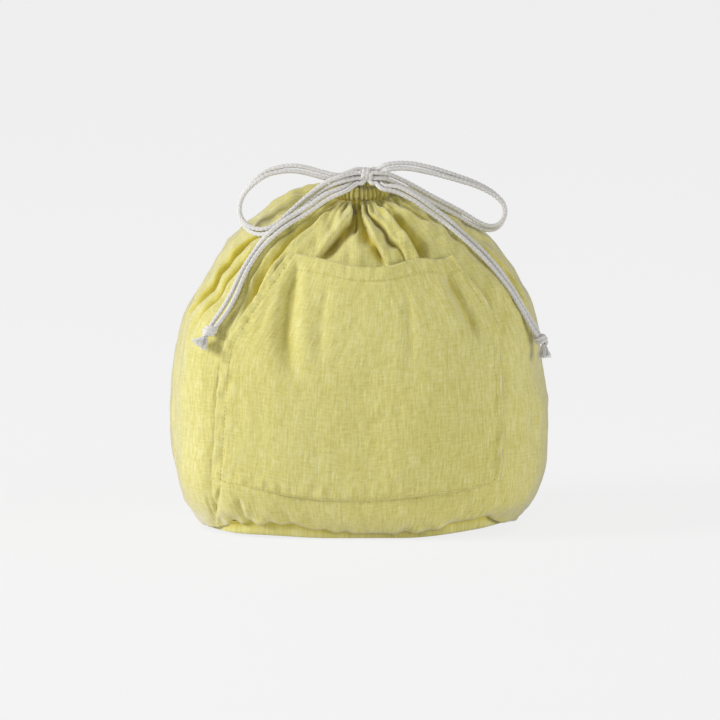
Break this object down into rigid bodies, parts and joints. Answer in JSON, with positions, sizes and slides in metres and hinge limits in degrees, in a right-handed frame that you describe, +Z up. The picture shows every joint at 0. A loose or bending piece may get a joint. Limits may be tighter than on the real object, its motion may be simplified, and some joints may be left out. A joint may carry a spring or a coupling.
{
  "type": "drawstring pouch",
  "caption": "Linen drawstring pouch with a boxed base, front patch pocket, gathered casing and doubled cotton cords tied in a bow; stands open inside to organise a purse.",
  "frame": {"origin": "on the floor under the middle of the bag's base", "axes": "+X to the right of the pocket side seen from the front, +Y from the front to the back, +Z up"},
  "size_m": [0.2561, 0.1653, 0.2471],
  "materials": {
    "linen": "washed plain-weave linen, matte",
    "cotton_cord": "braided cotton, matte"
  },
  "bodies": {
    "bag": {"front_panel": "linen", "back_panel": "linen", "bottom_panel": "linen", "front_pocket": "linen", "front_casing": "linen", "back_casing": "linen", "left_drawcord": "cotton_cord", "right_drawcord": "cotton_cord", "bow_knot": "cotton_cord", "left_tail_root_1": "cotton_cord", "left_tail_root_2": "cotton_cord", "right_tail_root_1": "cotton_cord", "right_tail_root_2": "cotton_cord"},
    "left_loop": {"left_loop_strand_1": "cotton_cord", "left_loop_strand_2": "cotton_cord"},
    "right_loop": {"right_loop_strand_1": "cotton_cord", "right_loop_strand_2": "cotton_cord"},
    "left_tail": {"left_tail_strand_1": "cotton_cord", "left_tail_strand_2": "cotton_cord", "left_end_knot": "cotton_cord", "left_tuft": "cotton_cord"},
    "right_tail": {"right_tail_strand_1": "cotton_cord", "right_tail_strand_2": "cotton_cord", "right_end_knot": "cotton_cord", "right_tuft": "cotton_cord"}
  },
  "joints": [
    {"name": "left_tail_lift", "type": "hinge", "parent": "bag", "child": "left_tail", "pos_m": [-0.01003, -0.02826, 0.23073], "axis": [-0.515, 0.676, 0.527], "range_deg": [0, 60]},
    {"name": "right_tail_lift", "type": "hinge", "parent": "bag", "child": "right_tail", "pos_m": [0.02033, -0.02707, 0.23086], "axis": [-0.111, -0.5829, -0.8049], "range_deg": [0, 60]},
    {"name": "left_loop_lift", "type": "hinge", "parent": "bag", "child": "left_loop", "pos_m": [0.0014, -0.0187, 0.2429], "axis": [0, 1, 0], "range_deg": [0, 40]},
    {"name": "right_loop_lift", "type": "hinge", "parent": "bag", "child": "right_loop", "pos_m": [0.0086, -0.0187, 0.2429], "axis": [0, -1, 0], "range_deg": [0, 40]}
  ]
}
